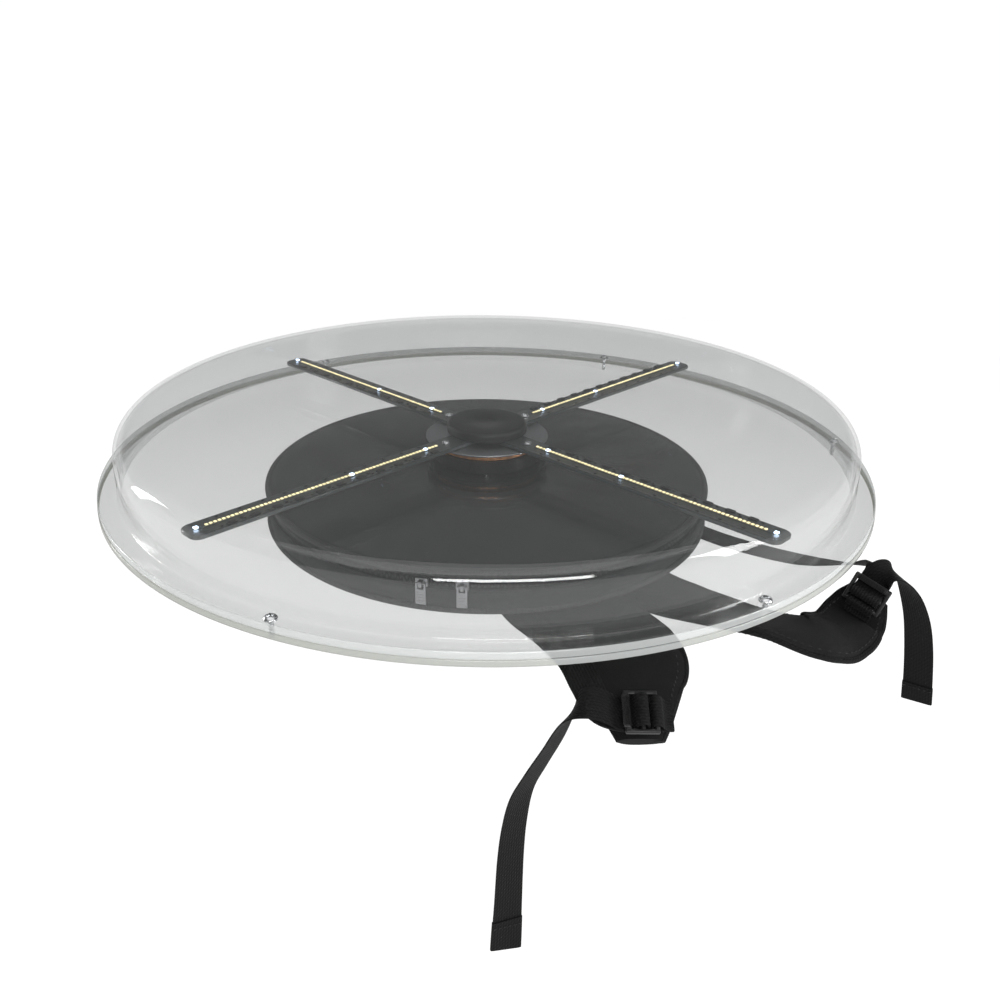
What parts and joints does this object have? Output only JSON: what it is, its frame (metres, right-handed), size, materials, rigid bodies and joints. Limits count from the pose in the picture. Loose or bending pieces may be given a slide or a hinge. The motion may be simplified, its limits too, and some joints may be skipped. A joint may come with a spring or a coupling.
{
  "type": "wearable fan display",
  "caption": "Clear domed cover over a spinning LED-blade display fan, carried on a round zipped fabric pack with padded shoulder straps.",
  "frame": {"origin": "middle of the pack's flat back panel, on its outer face", "axes": "+Z along the fan's axis, out through the clear dome; -Y towards the zip's sliders and the strap buckles"},
  "size_m": [0.5923, 0.56, 0.2996],
  "materials": {
    "clear_plastic": "clear, moulded",
    "screw_steel": "bright",
    "pack_fabric": "matt woven",
    "webbing": "ribbed webbing",
    "black_plastic": "moulded",
    "motor_metal": "satin",
    "copper_wire": "lacquered winding",
    "blade_board": "satin board lacquer",
    "led_line": "row of small lights",
    "zip_metal": "black plated"
  },
  "bodies": {
    "carrier": {"front_cover": "clear_plastic", "rear_cover": "clear_plastic", "rim_screw_1": "screw_steel", "rim_screw_2": "screw_steel", "rim_screw_3": "screw_steel", "rim_screw_4": "screw_steel", "rim_screw_5": "screw_steel", "rim_screw_6": "screw_steel", "base_screw_1": "screw_steel", "base_screw_2": "screw_steel", "base_screw_3": "screw_steel", "base_screw_4": "screw_steel", "clamp_plate": "screw_steel", "lower_bearing": "screw_steel", "upper_bearing": "screw_steel", "back_pad": "pack_fabric", "pack_back": "pack_fabric", "pack_front": "pack_fabric", "shoulder_strap_a": "pack_fabric", "shoulder_strap_b": "pack_fabric", "webbing_a": "webbing", "webbing_b": "webbing", "lock_loop_a": "webbing", "lock_loop_b": "webbing", "zipper": "webbing", "battery_pack": "black_plastic", "mount_spacer": "black_plastic", "motor_base": "black_plastic", "power_lead": "black_plastic", "motor_stator": "motor_metal", "fixed_coil": "copper_wire"},
    "fan": {"motor_shaft": "screw_steel", "rotor_can": "motor_metal", "rotating_coil": "copper_wire", "hub_plate": "motor_metal", "hub_board": "blade_board", "hub_cap": "black_plastic", "led_blade_1": "blade_board", "led_blade_2": "blade_board", "led_blade_3": "blade_board", "led_blade_4": "blade_board", "led_strip_1": "led_line", "led_strip_2": "led_line", "led_strip_3": "led_line", "led_strip_4": "led_line", "blade_screw_1": "screw_steel", "blade_screw_2": "screw_steel", "blade_screw_3": "screw_steel", "blade_screw_4": "screw_steel"},
    "zip_slider_1": {"zip_slider_1": "zip_metal"},
    "zip_pull_1": {"zip_pull_1": "zip_metal"},
    "zip_slider_2": {"zip_slider_2": "zip_metal"},
    "zip_pull_2": {"zip_pull_2": "zip_metal"},
    "lock_a": {"ladder_lock_a": "black_plastic"},
    "lock_b": {"ladder_lock_b": "black_plastic"}
  },
  "joints": [
    {"name": "fan_spin", "type": "hinge", "parent": "carrier", "child": "fan", "pos_m": [0, 0, 0.0748], "axis": [0, 0, 1], "continuous": true},
    {"name": "zip_slide_1", "type": "hinge", "parent": "carrier", "child": "zip_slider_1", "pos_m": [0, 0, 0.0345], "axis": [0, 0, 1], "range_deg": [-150, 0]},
    {"name": "zip_slide_2", "type": "hinge", "parent": "carrier", "child": "zip_slider_2", "pos_m": [0, 0, 0.0345], "axis": [0, 0, 1], "range_deg": [0, 150]},
    {"name": "zip_pull_1_swing", "type": "hinge", "parent": "zip_slider_1", "child": "zip_pull_1", "pos_m": [-0.04057, -0.16272, 0.03463], "axis": [-0.9703, 0.2419, 0], "range_deg": [0, 90]},
    {"name": "zip_pull_2_swing", "type": "hinge", "parent": "zip_slider_2", "child": "zip_pull_2", "pos_m": [-0.01462, -0.16706, 0.03463], "axis": [-0.9962, 0.0872, 0], "range_deg": [0, 90]},
    {"name": "lock_tilt_a", "type": "hinge", "parent": "carrier", "child": "lock_a", "pos_m": [0.0996, -0.2278, -0.0126], "axis": [0, 0.8627, 0.5058], "range_deg": [0, 15]},
    {"name": "lock_tilt_b", "type": "hinge", "parent": "carrier", "child": "lock_b", "pos_m": [0.2529, -0.12083, -0.00202], "axis": [0.7414, -0.6008, -0.299], "range_deg": [0, 15]}
  ]
}
